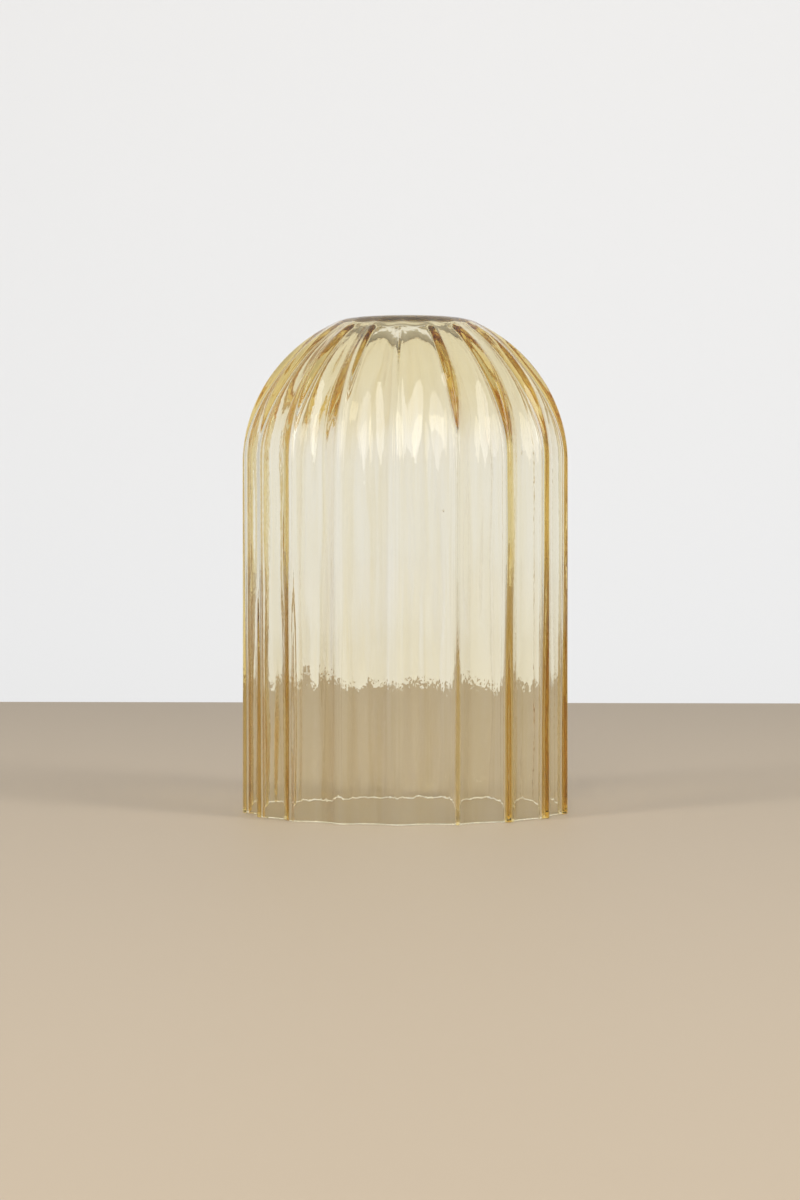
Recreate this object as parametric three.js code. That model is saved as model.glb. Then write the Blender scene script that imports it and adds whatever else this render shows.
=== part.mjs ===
// A fluted glass dome shade for a pendant or wall light. It is one piece of mould-blown glass with an open
// mouth at the bottom and a fitter hole in the flat top.
// Units are millimetres, +Z is up, and the origin is the centre of the mouth, on the plane that it rests on.

import * as THREE from "three";

// Driving dimensions
const ARRIS_RADIUS = 75; // over the sharp ridges between the flutes
const HEIGHT = 225;
const STRAIGHT_HEIGHT = 159; // the cylindrical part, from the mouth up to where the dome springs
const DOME_RISE = 71.6; // semi-axis of the dome's ellipse, which the flat top cuts short
const FITTER_HOLE_RADIUS = 21; // a standard 42 mm lampholder hole
const SEAT_RADIUS = 27; // the flat ring around the hole, where the lampholder's ring clamps
const SHOULDER_RADIUS = 34; // where the dome starts to ease into that flat ring
const MOUTH_WALL = 3.6; // glass thickness at the mouth
const SPRING_WALL = 2.2; // the glass is thinnest where the dome springs
const TOP_WALL = 6; // and thickest at the hole

// Flutes
const FLUTES = 18;
const FLUTE_DEPTH = 4.2; // from an arris to the bottom of a flute, on the straight part
const FADED_RADIUS = 28; // the flutes fade out towards the top, and are gone at this radius
const FULL_RADIUS = 60; // outside this radius they are as deep as they get
const ARRIS_ROUNDING = 0.1; // how far the fire-polished arris is rounded, as a share of half a flute
const STEPS_PER_FLUTE = 6;

// Steps along the profile
const STRAIGHT_STEPS = 2;
const DOME_STEPS = 11;
const SHOULDER_STEPS = 3;

const TAU = Math.PI * 2;

// How deep the flute is at an angle, from 0 on an arris to 1 at the bottom of the flute.
function fluteShare(angle) {
  const halfFlute = TAU / FLUTES / 2;
  const turn = THREE.MathUtils.euclideanModulo(angle, 2 * halfFlute);
  const fromArris = Math.min(turn, 2 * halfFlute - turn) / halfFlute;
  const rounded = Math.hypot(fromArris, ARRIS_ROUNDING) - ARRIS_ROUNDING;
  const share = rounded / (Math.hypot(1, ARRIS_ROUNDING) - ARRIS_ROUNDING);
  return share * (2 - share);
}

// The outside of the shade along an arris, from the mouth to the hole: points of radius and height,
// each with the outward normal of the profile there.
function outerProfile() {
  const points = [];
  const normals = [];
  const add = (radius, height, outward, upward) => {
    points.push(new THREE.Vector2(radius, height));
    normals.push(new THREE.Vector2(outward, upward).normalize());
  };

  for (let i = 0; i < STRAIGHT_STEPS; i += 1) {
    add(ARRIS_RADIUS, (STRAIGHT_HEIGHT * i) / STRAIGHT_STEPS, 1, 0);
  }

  // The dome runs up its ellipse until the shoulder, which eases it into the flat top.
  const domeTurn = Math.acos(SHOULDER_RADIUS / ARRIS_RADIUS);
  for (let i = 0; i <= DOME_STEPS; i += 1) {
    const turn = (domeTurn * i) / DOME_STEPS;
    const radius = ARRIS_RADIUS * Math.cos(turn);
    const height = STRAIGHT_HEIGHT + DOME_RISE * Math.sin(turn);
    add(radius, height, Math.cos(turn) / ARRIS_RADIUS, Math.sin(turn) / DOME_RISE);
  }

  const dome = points[points.length - 1];
  const lean = normals[normals.length - 1];
  for (let i = 1; i <= SHOULDER_STEPS; i += 1) {
    const share = i / SHOULDER_STEPS;
    const radius = THREE.MathUtils.lerp(dome.x, SEAT_RADIUS, share);
    const height = dome.y + (HEIGHT - dome.y) * share * (2 - share);
    add(radius, height, lean.x * (1 - share), lean.y + share);
  }
  add(FITTER_HOLE_RADIUS, HEIGHT, 0, 1);
  return { points, normals };
}

// How thick the glass is at a height.
function wallAt(height) {
  if (height < STRAIGHT_HEIGHT) {
    return THREE.MathUtils.lerp(MOUTH_WALL, SPRING_WALL, height / STRAIGHT_HEIGHT);
  }
  const rise = (height - STRAIGHT_HEIGHT) / (HEIGHT - STRAIGHT_HEIGHT);
  return THREE.MathUtils.lerp(SPRING_WALL, TOP_WALL, rise);
}

// The closed section of the glass: up the outside, down the hole's wall, and back down the inside to the
// mouth. Each point also keeps how far the flutes move it, and in which direction.
function section() {
  const { points, normals } = outerProfile();
  const outside = [];
  const inside = [];
  points.forEach((point, i) => {
    const normal = normals[i];
    const fade = THREE.MathUtils.smoothstep(point.x, FADED_RADIUS, FULL_RADIUS);
    const push = normal.clone().multiplyScalar((-FLUTE_DEPTH * fade * point.x) / ARRIS_RADIUS);
    outside.push({ point, push });
    inside.push({ point: point.clone().addScaledVector(normal, -wallAt(point.y)), push });
  });
  inside[inside.length - 1].point.x = FITTER_HOLE_RADIUS;
  return [...outside, ...inside.reverse(), outside[0]];
}

// A lathe turns the section, and then each ring of points is pushed in along its normal to cut the flutes.
function makeShade() {
  const outline = section();
  const geometry = new THREE.LatheGeometry(
    outline.map(({ point }) => point),
    FLUTES * STEPS_PER_FLUTE,
  );
  const position = geometry.getAttribute("position");
  for (let i = 0; i < position.count; i += 1) {
    const { push } = outline[i % outline.length];
    const angle = (Math.floor(i / outline.length) / (FLUTES * STEPS_PER_FLUTE)) * TAU;
    const share = fluteShare(angle);
    const radius = Math.hypot(position.getX(i), position.getZ(i));
    const moved = (radius + push.x * share) / radius;
    position.setXYZ(
      i,
      position.getX(i) * moved,
      position.getY(i) + push.y * share,
      position.getZ(i) * moved,
    );
  }
  geometry.computeVertexNormals();
  return geometry.rotateX(Math.PI / 2);
}

const amberGlass = new THREE.MeshStandardMaterial({
  color: 0xe3d3a2,
  roughness: 0.04,
  metalness: 0,
  transparent: true,
  opacity: 0.35,
});

const glassShade = new THREE.Mesh(makeShade(), amberGlass);
glassShade.name = "glass_shade";

const lampshade = new THREE.Group();
lampshade.add(glassShade);

export default lampshade;
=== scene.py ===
import math

import bmesh
import bpy
from mathutils import Matrix, Vector, noise


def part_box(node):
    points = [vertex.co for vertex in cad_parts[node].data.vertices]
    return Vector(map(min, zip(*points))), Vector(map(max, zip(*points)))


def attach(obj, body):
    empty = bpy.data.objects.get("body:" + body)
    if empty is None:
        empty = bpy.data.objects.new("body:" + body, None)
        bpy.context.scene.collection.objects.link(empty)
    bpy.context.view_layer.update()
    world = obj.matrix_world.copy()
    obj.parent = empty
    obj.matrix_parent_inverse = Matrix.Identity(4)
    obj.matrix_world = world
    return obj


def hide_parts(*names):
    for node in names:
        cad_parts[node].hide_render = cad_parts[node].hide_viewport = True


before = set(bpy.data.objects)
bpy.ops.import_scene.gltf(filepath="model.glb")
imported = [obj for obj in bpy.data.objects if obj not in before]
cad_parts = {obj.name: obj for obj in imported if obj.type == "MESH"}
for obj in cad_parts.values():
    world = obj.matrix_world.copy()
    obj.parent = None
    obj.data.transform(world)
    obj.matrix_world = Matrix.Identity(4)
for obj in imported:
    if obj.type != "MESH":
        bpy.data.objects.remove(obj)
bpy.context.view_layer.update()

# ---------------------------------------------------------------------------------------------------------
# The shade's section
# One gather of pale amber glass, blown into a fluted mould. The glass settles thick in the dome, runs thin
# where the dome springs and thickens again towards the mouth, where it is cut off and ground flat.
# ---------------------------------------------------------------------------------------------------------
shade_low, shade_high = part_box("glass_shade")
ARRIS_RADIUS = shade_high[1]
SHADE_HEIGHT = shade_high[2]
DOME_SPRING = 0.159
DOME_RISE = 0.0716
SHOULDER_RADIUS = 0.034
SEAT_RADIUS = 0.027
HOLE_RADIUS = 0.021
MOUTH_WALL = 0.0036
THIN_WALL = 0.0022
DOME_WALL = 0.0060
THINNING = (0.035, 0.135)
THICKENING = (0.165, 0.205)
RIM_ROW = 0.0007
STRAIGHT_ROWS = 26
DOME_ROWS = 32
SHOULDER_ROWS = 6
SEAT_ROWS = 3


def ease(low, high, value):
    """0 below low and 1 above high, with a smooth rise between them."""
    share = min(1, max(0, (value - low) / (high - low)))
    return share * share * (3 - 2 * share)


def wall_at(height):
    """How thick the glass is at a height."""
    straight = MOUTH_WALL + (THIN_WALL - MOUTH_WALL) * ease(*THINNING, height)
    return straight + (DOME_WALL - straight) * ease(*THICKENING, height)


def outer_stations():
    """The outside along an arris, from the mouth to the hole: points of radius and height, with normals."""
    stations = []
    # The narrow first row keeps the smooth shading of the wall off the ground mouth.
    heights = [0, RIM_ROW] + [DOME_SPRING * row / STRAIGHT_ROWS for row in range(1, STRAIGHT_ROWS)]
    for height in heights:
        stations.append((Vector((ARRIS_RADIUS, height)), Vector((1, 0))))
    dome_turn = math.acos(SHOULDER_RADIUS / ARRIS_RADIUS)
    for row in range(DOME_ROWS + 1):
        turn = dome_turn * row / DOME_ROWS
        place = Vector((ARRIS_RADIUS * math.cos(turn), DOME_SPRING + DOME_RISE * math.sin(turn)))
        normal = Vector((math.cos(turn) / ARRIS_RADIUS, math.sin(turn) / DOME_RISE)).normalized()
        stations.append((place, normal))
    dome_end, lean = stations[-1]
    for row in range(1, SHOULDER_ROWS + 1):
        share = row / SHOULDER_ROWS
        radius = dome_end.x + (SEAT_RADIUS - dome_end.x) * share
        height = dome_end.y + (SHADE_HEIGHT - dome_end.y) * share * (2 - share)
        normal = Vector((lean.x * (1 - share), lean.y + share)).normalized()
        stations.append((Vector((radius, height)), normal))
    for row in range(1, SEAT_ROWS + 1):
        radius = SEAT_RADIUS + (HOLE_RADIUS - SEAT_RADIUS) * row / SEAT_ROWS
        stations.append((Vector((radius, SHADE_HEIGHT)), Vector((0, 1))))
    return stations


# ---------------------------------------------------------------------------------------------------------
# The shade's flutes
# Eighteen hollow flutes meet at arrises that the flame has rounded a little, and they fade out towards the
# seat. Inside, the glass follows the mould more softly and has turned a little against the outside.
# ---------------------------------------------------------------------------------------------------------
FLUTES = 18
STEPS_PER_FLUTE = 28
FLUTE_DEPTH = 0.0042
ARRIS_ROUNDING = 0.10
FADED_RADIUS = 0.028
FULL_RADIUS = 0.060
INSIDE_SHARE = 1.08
INSIDE_ROUNDING = 0.18
INSIDE_TURN = math.radians(-1.1)


def flute_share(angle, rounding):
    """How deep a flute is at an angle, from 0 on an arris to 1 at the bottom of the flute."""
    half = math.pi / FLUTES
    turn = (angle - math.pi / 2) % (2 * half)
    from_arris = min(turn, 2 * half - turn) / half
    share = (math.hypot(from_arris, rounding) - rounding) / (math.hypot(1, rounding) - rounding)
    return share * (2 - share)


def flute_depth(radius):
    """How deep the flutes are cut at a radius."""
    return FLUTE_DEPTH * radius / ARRIS_RADIUS * ease(FADED_RADIUS, FULL_RADIUS, radius)


shade_mesh = bmesh.new()
push_out = shade_mesh.verts.layers.float.new("push_out")
push_up = shade_mesh.verts.layers.float.new("push_up")
inside = shade_mesh.verts.layers.float.new("inside")


def section_vertex(radius, height, normal, depth, is_inside):
    """A point of the section, which keeps how far and which way a flute moves it."""
    vertex = shade_mesh.verts.new((radius, 0, height))
    vertex[push_out] = -normal.x * depth
    vertex[push_up] = -normal.y * depth
    vertex[inside] = is_inside
    return vertex


outer_line = []
inner_line = []
for place, normal in outer_stations():
    depth = flute_depth(place.x)
    outer_line.append(section_vertex(place.x, place.y, normal, depth, 0))
    within = place - normal * wall_at(place.y)
    inner_line.append(section_vertex(max(within.x, HOLE_RADIUS), within.y, normal, depth, 1))

outline = outer_line + inner_line[::-1]
for here, after in zip(outline, outline[1:] + outline[:1]):
    shade_mesh.edges.new((here, after))
bmesh.ops.spin(
    shade_mesh,
    geom=shade_mesh.verts[:] + shade_mesh.edges[:],
    cent=(0, 0, 0),
    axis=(0, 0, 1),
    angle=2 * math.pi,
    steps=FLUTES * STEPS_PER_FLUTE,
    use_merge=True,
)
bmesh.ops.remove_doubles(shade_mesh, verts=shade_mesh.verts[:], dist=1e-6)
bmesh.ops.recalc_face_normals(shade_mesh, faces=shade_mesh.faces[:])

# ---------------------------------------------------------------------------------------------------------
# The unevenness of hand-blown glass
# Long streaks and shorter ones between them run up the wall, mostly on the inside, where no mould holds the
# glass; outside they are only shallow hollows. Width, length and height of each kind are in metres.
# ---------------------------------------------------------------------------------------------------------
STREAKS = ((0.011, 0.080, 0.00024), (0.0045, 0.040, 0.00018))
OUTSIDE_STREAK_SHARE = 0.3
INSIDE_PATTERN, OUTSIDE_PATTERN = 7, 3
TRUE_HEIGHT = 0.004


def streak(place, pattern):
    """How far the surface strays at a place, in one of the two unlike patterns of streaks."""
    around = Vector((place.x, place.y, 0)).normalized() * ARRIS_RADIUS
    stray = 0
    for width, length, height in STREAKS:
        where = Vector((around.x / width, around.y / width, place.z / length + pattern))
        stray += height * noise.noise(where)
    return stray


for vertex in shade_mesh.verts:
    radius = math.hypot(vertex.co.x, vertex.co.y)
    angle = math.atan2(vertex.co.y, vertex.co.x)
    if vertex[inside]:
        share = INSIDE_SHARE * flute_share(angle - INSIDE_TURN, INSIDE_ROUNDING)
        uneven = streak(vertex.co, INSIDE_PATTERN)
    else:
        share = flute_share(angle, ARRIS_ROUNDING)
        uneven = OUTSIDE_STREAK_SHARE * min(0, streak(vertex.co, OUTSIDE_PATTERN))
    # The ground mouth and seat are true, so the unevenness dies out there.
    uneven *= ease(0, TRUE_HEIGHT, vertex.co.z) * ease(HOLE_RADIUS, SHOULDER_RADIUS, radius)
    vertex.co += Vector((math.cos(angle), math.sin(angle), 0)) * (vertex[push_out] * share + uneven)
    vertex.co.z += vertex[push_up] * share

# ---------------------------------------------------------------------------------------------------------
# A seed in the glass
# One tiny bubble of air, drawn out upwards, is caught in the front wall. Its faces look into the bubble,
# away from the glass.
# ---------------------------------------------------------------------------------------------------------
SEED_ANGLE = math.radians(-74.7)
SEED_HEIGHT = 0.1365
SEED_RADIUS = 0.00032
SEED_STRETCH = 1.5
SEED_SUBDIVISIONS = 3

seed_outer = ARRIS_RADIUS - FLUTE_DEPTH * flute_share(SEED_ANGLE, ARRIS_ROUNDING)
seed_inside_share = INSIDE_SHARE * flute_share(SEED_ANGLE - INSIDE_TURN, INSIDE_ROUNDING)
seed_inner = ARRIS_RADIUS - wall_at(SEED_HEIGHT) - FLUTE_DEPTH * seed_inside_share
seed_reach = (seed_outer + seed_inner) / 2
seed_place = (seed_reach * math.cos(SEED_ANGLE), seed_reach * math.sin(SEED_ANGLE), SEED_HEIGHT)
bubble = bmesh.ops.create_icosphere(
    shade_mesh,
    subdivisions=SEED_SUBDIVISIONS,
    radius=SEED_RADIUS,
    matrix=Matrix.Translation(seed_place) @ Matrix.Diagonal((1, 1, SEED_STRETCH, 1)),
)
seed_faces = {face for vertex in bubble["verts"] for face in vertex.link_faces}
bmesh.ops.reverse_faces(shade_mesh, faces=list(seed_faces))

# ---------------------------------------------------------------------------------------------------------
# The finished shade
# The mouth, the seat and the wall of the hole are ground; all the rest keeps the shine of the fire. The
# grinder has taken the sharpness off every cut edge.
# ---------------------------------------------------------------------------------------------------------
CLEAR, GROUND = 0, 1
EDGE_EASE = 0.00035
SHARPEST_LEFT = math.radians(50)
FLATNESS = 1e-5

for face in shade_mesh.faces:
    face.smooth = True
    at_mouth = all(vertex.co.z < FLATNESS for vertex in face.verts)
    on_seat = all(vertex.co.z > SHADE_HEIGHT - FLATNESS for vertex in face.verts)
    in_hole = all(math.hypot(vertex.co.x, vertex.co.y) < HOLE_RADIUS + FLATNESS for vertex in face.verts)
    face.material_index = GROUND if at_mouth or on_seat or in_hole else CLEAR

shade_data = bpy.data.meshes.new("fluted_shade")
shade_mesh.to_mesh(shade_data)
shade_mesh.free()
fluted_shade = bpy.data.objects.new("fluted_shade", shade_data)
bpy.context.scene.collection.objects.link(fluted_shade)
eased_edges = fluted_shade.modifiers.new("eased_edges", "BEVEL")
eased_edges.limit_method = "ANGLE"
eased_edges.angle_limit = SHARPEST_LEFT
eased_edges.width = EDGE_EASE
eased_edges.segments = 3

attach(fluted_shade, "root")
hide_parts("glass_shade")

# ---------------------------------------------------------------------------------------------------------
# The surface that blowing leaves
# Fine cords, a little more amber than the glass between them, are drawn up the wall, and the cold mould
# chills a faint ripple into the skin.
# ---------------------------------------------------------------------------------------------------------
CORD_WIDTH = 0.0032
CORD_LENGTH = 0.070
CORD_RELIEF = 0.000022
FAINTEST_CORD = 0.35
STRONGEST_CORD = 0.70
RIPPLE_SIZE = 0.0013
RIPPLE_STRETCH = 0.45
RIPPLE_RELIEF = 0.000016

blown_surface = bpy.data.node_groups.new("blown_surface", "ShaderNodeTree")
blown_surface.interface.new_socket("Cords", in_out="OUTPUT", socket_type="NodeSocketFloat")
blown_surface.interface.new_socket("Normal", in_out="OUTPUT", socket_type="NodeSocketVector")
nodes, links = blown_surface.nodes, blown_surface.links
place = nodes.new("ShaderNodeTexCoord")

# The direction from the axis, so that the cords follow the wall up over the dome.
level = nodes.new("ShaderNodeVectorMath")
level.operation = "MULTIPLY"
level.inputs[1].default_value = (1, 1, 0)
outward = nodes.new("ShaderNodeVectorMath")
outward.operation = "NORMALIZE"
around = nodes.new("ShaderNodeVectorMath")
around.operation = "SCALE"
around.inputs["Scale"].default_value = ARRIS_RADIUS / CORD_WIDTH
upward = nodes.new("ShaderNodeVectorMath")
upward.operation = "MULTIPLY"
upward.inputs[1].default_value = (0, 0, 1 / CORD_LENGTH)
along = nodes.new("ShaderNodeVectorMath")
along.operation = "ADD"
links.new(place.outputs["Object"], level.inputs[0])
links.new(level.outputs[0], outward.inputs[0])
links.new(outward.outputs[0], around.inputs[0])
links.new(place.outputs["Object"], upward.inputs[0])
links.new(around.outputs[0], along.inputs[0])
links.new(upward.outputs[0], along.inputs[1])

cords = nodes.new("ShaderNodeTexNoise")
cords.inputs["Scale"].default_value = 1
cords.inputs["Detail"].default_value = 3
cord_strength = nodes.new("ShaderNodeMapRange")
cord_strength.inputs["From Min"].default_value = FAINTEST_CORD
cord_strength.inputs["From Max"].default_value = STRONGEST_CORD
cord_relief = nodes.new("ShaderNodeBump")
cord_relief.inputs["Distance"].default_value = CORD_RELIEF
links.new(along.outputs[0], cords.inputs["Vector"])
links.new(cords.outputs["Fac"], cord_strength.inputs["Value"])
links.new(cords.outputs["Fac"], cord_relief.inputs["Height"])

stretched = nodes.new("ShaderNodeVectorMath")
stretched.operation = "MULTIPLY"
stretched.inputs[1].default_value = (1, 1, RIPPLE_STRETCH)
ripple = nodes.new("ShaderNodeTexNoise")
ripple.inputs["Scale"].default_value = 1 / RIPPLE_SIZE
ripple.inputs["Detail"].default_value = 1
ripple_relief = nodes.new("ShaderNodeBump")
ripple_relief.inputs["Distance"].default_value = RIPPLE_RELIEF
links.new(place.outputs["Object"], stretched.inputs[0])
links.new(stretched.outputs[0], ripple.inputs["Vector"])
links.new(ripple.outputs["Fac"], ripple_relief.inputs["Height"])
links.new(cord_relief.outputs["Normal"], ripple_relief.inputs["Normal"])

blown_ends = nodes.new("NodeGroupOutput")
links.new(cord_strength.outputs["Result"], blown_ends.inputs["Cords"])
links.new(ripple_relief.outputs["Normal"], blown_ends.inputs["Normal"])

# ---------------------------------------------------------------------------------------------------------
# Clear amber glass
# Coloured right through, so it is pale across a thin wall and a deep amber along an arris, where the light
# runs the long way through it.
# ---------------------------------------------------------------------------------------------------------
AMBER = (0.90, 0.72, 0.0, 1)
AMBER_DENSITY = 45.0
GLASS_IOR = 1.5
CORD_TINT = (0.975, 0.955, 0.89, 1)

clear_glass = bpy.data.materials.new("amber_glass_clear")
clear_glass.use_nodes = True
nodes, links = clear_glass.node_tree.nodes, clear_glass.node_tree.links
shader = nodes["Principled BSDF"]
shader.inputs["Roughness"].default_value = 0
shader.inputs["IOR"].default_value = GLASS_IOR
shader.inputs["Transmission Weight"].default_value = 1

blown = nodes.new("ShaderNodeGroup")
blown.node_tree = blown_surface
cord_tint = nodes.new("ShaderNodeMix")
cord_tint.data_type = "RGBA"
cord_tint.inputs["A"].default_value = (1, 1, 1, 1)
cord_tint.inputs["B"].default_value = CORD_TINT
links.new(blown.outputs["Cords"], cord_tint.inputs["Factor"])
links.new(cord_tint.outputs["Result"], shader.inputs["Base Color"])
links.new(blown.outputs["Normal"], shader.inputs["Normal"])

clear_body = nodes.new("ShaderNodeVolumeAbsorption")
clear_body.inputs["Color"].default_value = AMBER
clear_body.inputs["Density"].default_value = AMBER_DENSITY
links.new(clear_body.outputs["Volume"], nodes["Material Output"].inputs["Volume"])

# ---------------------------------------------------------------------------------------------------------
# Ground amber glass
# The same glass where the grinder has frosted it: a fine, even grain that scatters the light and catches
# it in sparks along the mouth.
# ---------------------------------------------------------------------------------------------------------
GRAIN_SIZE = 0.00045
GRAIN_RELIEF = 0.00004
SMOOTHEST_GRAIN = 0.35
ROUGHEST_GRAIN = 0.65
PALE_FROST = (0.90, 0.82, 0.60, 1)
DEEP_FROST = (0.80, 0.70, 0.44, 1)

ground_glass = bpy.data.materials.new("amber_glass_ground")
ground_glass.use_nodes = True
nodes, links = ground_glass.node_tree.nodes, ground_glass.node_tree.links
shader = nodes["Principled BSDF"]
shader.inputs["IOR"].default_value = GLASS_IOR
shader.inputs["Transmission Weight"].default_value = 0.8

place = nodes.new("ShaderNodeTexCoord")
grain = nodes.new("ShaderNodeTexNoise")
grain.inputs["Scale"].default_value = 1 / GRAIN_SIZE
grain.inputs["Detail"].default_value = 2
frosting = nodes.new("ShaderNodeMapRange")
frosting.inputs["To Min"].default_value = SMOOTHEST_GRAIN
frosting.inputs["To Max"].default_value = ROUGHEST_GRAIN
frost_colour = nodes.new("ShaderNodeMix")
frost_colour.data_type = "RGBA"
frost_colour.inputs["A"].default_value = PALE_FROST
frost_colour.inputs["B"].default_value = DEEP_FROST
grain_relief = nodes.new("ShaderNodeBump")
grain_relief.inputs["Distance"].default_value = GRAIN_RELIEF
links.new(place.outputs["Object"], grain.inputs["Vector"])
links.new(grain.outputs["Fac"], frosting.inputs["Value"])
links.new(grain.outputs["Fac"], frost_colour.inputs["Factor"])
links.new(grain.outputs["Fac"], grain_relief.inputs["Height"])
links.new(frosting.outputs["Result"], shader.inputs["Roughness"])
links.new(frost_colour.outputs["Result"], shader.inputs["Base Color"])
links.new(grain_relief.outputs["Normal"], shader.inputs["Normal"])

ground_body = nodes.new("ShaderNodeVolumeAbsorption")
ground_body.inputs["Color"].default_value = AMBER
ground_body.inputs["Density"].default_value = AMBER_DENSITY
links.new(ground_body.outputs["Volume"], nodes["Material Output"].inputs["Volume"])

fluted_shade.data.materials.append(clear_glass)
fluted_shade.data.materials.append(ground_glass)

# ---------------------------------------------------------------------------------------------------------
# The floor and the backdrop
# A plain warm table top that the shade stands on, and a plain pale wall some way behind its far edge.
# Neither is part of the object.
# ---------------------------------------------------------------------------------------------------------
TABLE_EDGE = 0.97
TABLE_REACH = 3
TABLE_COLOUR = (0.31, 0.248, 0.175, 1)
WALL_DISTANCE = 2.2
WALL_REACH = 5
WALL_FOOT, WALL_TOP = -1.5, 4
WALL_COLOUR = (0.67, 0.67, 0.67, 1)


def stage_sheet(name, corners, colour, roughness):
    """A flat four-sided sheet of one plain colour."""
    sheet_mesh = bmesh.new()
    sheet_mesh.faces.new([sheet_mesh.verts.new(corner) for corner in corners])
    sheet_data = bpy.data.meshes.new(name)
    sheet_mesh.to_mesh(sheet_data)
    sheet_mesh.free()
    sheet = bpy.data.objects.new(name, sheet_data)
    bpy.context.scene.collection.objects.link(sheet)
    paint = bpy.data.materials.new(name)
    paint.use_nodes = True
    paint_shader = paint.node_tree.nodes["Principled BSDF"]
    paint_shader.inputs["Base Color"].default_value = colour
    paint_shader.inputs["Roughness"].default_value = roughness
    sheet.data.materials.append(paint)


stage_sheet(
    "floor",
    (
        (-TABLE_REACH, -TABLE_REACH, 0),
        (TABLE_REACH, -TABLE_REACH, 0),
        (TABLE_REACH, TABLE_EDGE, 0),
        (-TABLE_REACH, TABLE_EDGE, 0),
    ),
    TABLE_COLOUR,
    0.6,
)
stage_sheet(
    "backdrop",
    (
        (-WALL_REACH, WALL_DISTANCE, WALL_FOOT),
        (WALL_REACH, WALL_DISTANCE, WALL_FOOT),
        (WALL_REACH, WALL_DISTANCE, WALL_TOP),
        (-WALL_REACH, WALL_DISTANCE, WALL_TOP),
    ),
    WALL_COLOUR,
    0.9,
)

# ---------------------------------------------------------------------------------------------------------
# Soft studio light
# Three tall soft windows stand round the front of the shade and show as pale streaks on the dome. Each is
# two layers deep, so that its edges are soft. A bright, even room fills in all round.
# ---------------------------------------------------------------------------------------------------------
ROOM_STRENGTH = 0.70
WINDOW_TALL = 2.8
DOME_AIM = (0, 0, 0.2)

world = bpy.data.worlds.new("studio")
world.use_nodes = True
world.node_tree.nodes["Background"].inputs["Color"].default_value = (1, 1, 1, 1)
world.node_tree.nodes["Background"].inputs["Strength"].default_value = ROOM_STRENGTH
bpy.context.scene.world = world


def soft_light(name, place, aim, width, height, power):
    """An oval soft light at a place, facing the point that it is aimed at."""
    lamp = bpy.data.lights.new(name, "AREA")
    lamp.shape = "ELLIPSE"
    lamp.size = width
    lamp.size_y = height
    lamp.energy = power
    light = bpy.data.objects.new(name, lamp)
    bpy.context.scene.collection.objects.link(light)
    light.location = place
    light.rotation_euler = (Vector(aim) - Vector(place)).to_track_quat("-Z", "Y").to_euler()


for layer, spread in (("wide", 1.0), ("narrow", 0.45)):
    tall = WINDOW_TALL * spread
    soft_light(f"window_right_{layer}", (1.76, -1.48, 1.5), DOME_AIM, 1.35 * spread, tall, 28)
    soft_light(f"window_behind_{layer}", (-0.15, -2.6, 1.5), DOME_AIM, 1.5 * spread, tall, 22)
    soft_light(f"window_left_{layer}", (-1.63, -1.63, 1.5), DOME_AIM, 0.9 * spread, tall, 20)

# ---------------------------------------------------------------------------------------------------------
# The camera
# It stands a little over a metre in front with its eye at half the height of the shade, and the nearest
# arris just to the left of the middle.
# ---------------------------------------------------------------------------------------------------------
CAMERA_DISTANCE = 1.30
CAMERA_HEIGHT = 0.116
CAMERA_TURN = math.radians(2.1)
LOOK_DOWN = math.radians(0.85)
LOOK_LEFT = math.radians(0.12)
LENS = 85
SENSOR_WIDTH = 36
MOST_BOUNCES = 32

camera_data = bpy.data.cameras.new("camera")
camera_data.lens = LENS
camera_data.sensor_width = SENSOR_WIDTH
camera = bpy.data.objects.new("camera", camera_data)
bpy.context.scene.collection.objects.link(camera)
camera.location = (
    CAMERA_DISTANCE * math.sin(CAMERA_TURN),
    -CAMERA_DISTANCE * math.cos(CAMERA_TURN),
    CAMERA_HEIGHT,
)
camera.rotation_euler = (math.pi / 2 - LOOK_DOWN, 0, CAMERA_TURN + LOOK_LEFT)
bpy.context.scene.camera = camera

# Light goes through several walls of glass before it is spent, and nothing softens what it meets there.
bpy.context.scene.view_settings.view_transform = "Standard"
bpy.context.scene.cycles.max_bounces = MOST_BOUNCES
bpy.context.scene.cycles.transmission_bounces = MOST_BOUNCES
bpy.context.scene.cycles.glossy_bounces = 16
bpy.context.scene.cycles.blur_glossy = 0
